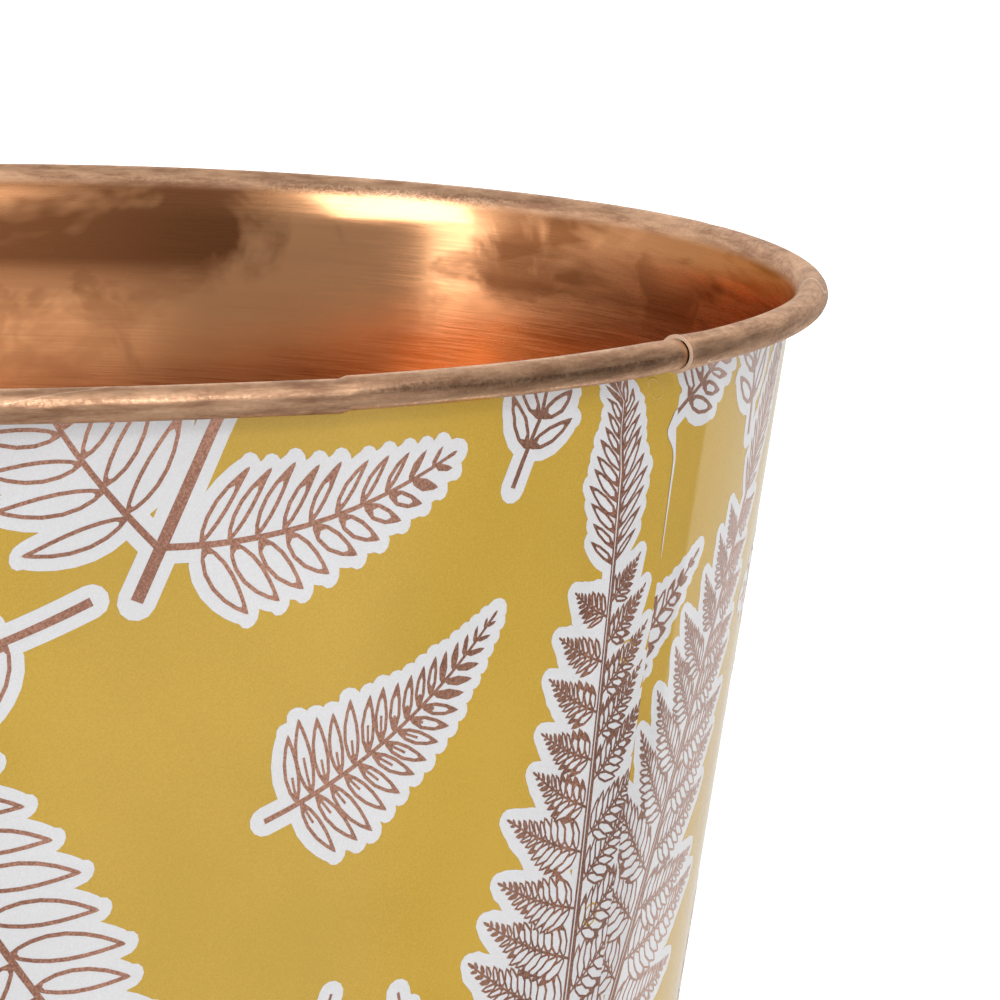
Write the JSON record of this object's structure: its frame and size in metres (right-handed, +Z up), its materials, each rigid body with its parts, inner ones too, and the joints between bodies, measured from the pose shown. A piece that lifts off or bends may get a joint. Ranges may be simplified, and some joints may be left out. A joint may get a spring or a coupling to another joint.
{
  "type": "planter pot",
  "caption": "Tapered round sheet-metal planter pot with a wired, outward-rolled rim, a lapped side seam, a recessed base pan and a fern print outside.",
  "frame": {"origin": "centre of the foot ring, on the surface the pot stands on", "axes": "+Z up along the pot's axis; the side seam lies 55 degrees from -Y towards +X"},
  "size_m": [0.2, 0.2, 0.171],
  "materials": {
    "printed_enamel": "semi-gloss mustard enamel with a white and copper fern print",
    "bare_copper": "polished copper plating with fine brushing and light tarnish",
    "steel_wire": "drawn",
    "seam_sealant": "satin, cloudy"
  },
  "bodies": {
    "root": {"body_wall": "printed_enamel", "rim_wire": "steel_wire", "base_pan": "bare_copper", "base_sealant": "seam_sealant"}
  },
  "joints": []
}
